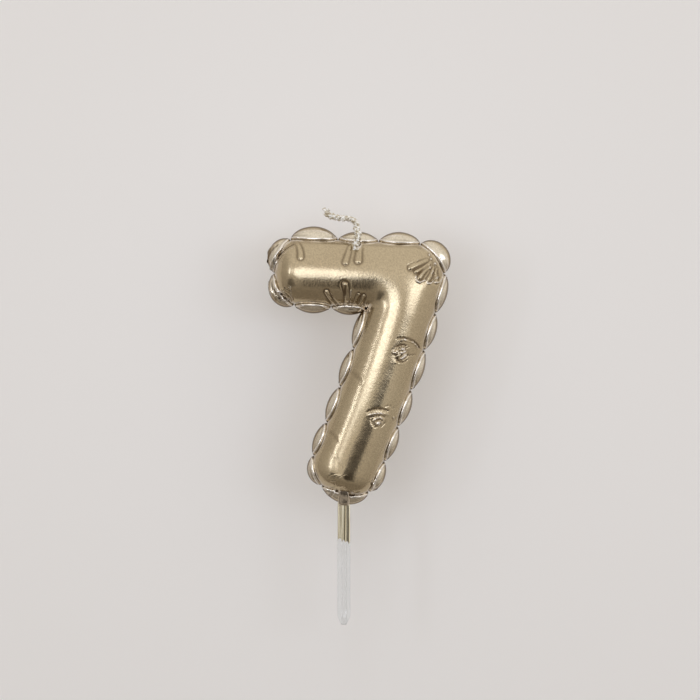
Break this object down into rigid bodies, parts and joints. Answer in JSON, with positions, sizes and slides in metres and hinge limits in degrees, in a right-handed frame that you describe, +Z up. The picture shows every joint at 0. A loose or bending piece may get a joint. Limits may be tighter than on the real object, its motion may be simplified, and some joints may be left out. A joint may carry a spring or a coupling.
{
  "type": "balloon number candle",
  "caption": "Gold figure-seven candle moulded like a puffed foil balloon with a scalloped seam, with a twisted wick and a clear pick for the cake.",
  "frame": {"origin": "centre of the flat face at the pick's tip", "axes": "+Z up along the pick towards the figure, +X to the right as the figure is read, +Y away from the reader"},
  "size_m": [0.0496, 0.0139, 0.1123],
  "materials": {
    "gold_wax": "metallised champagne gold lacquer on paraffin wax, satin with a fine grain",
    "wick": "twisted waxed cotton with the same metallised lacquer",
    "clear_plastic": "clear moulded polystyrene, gold lacquer on the neck"
  },
  "bodies": {
    "root": {"wax_body": "gold_wax", "wick": "wick", "cake_pick": "clear_plastic"}
  },
  "joints": []
}
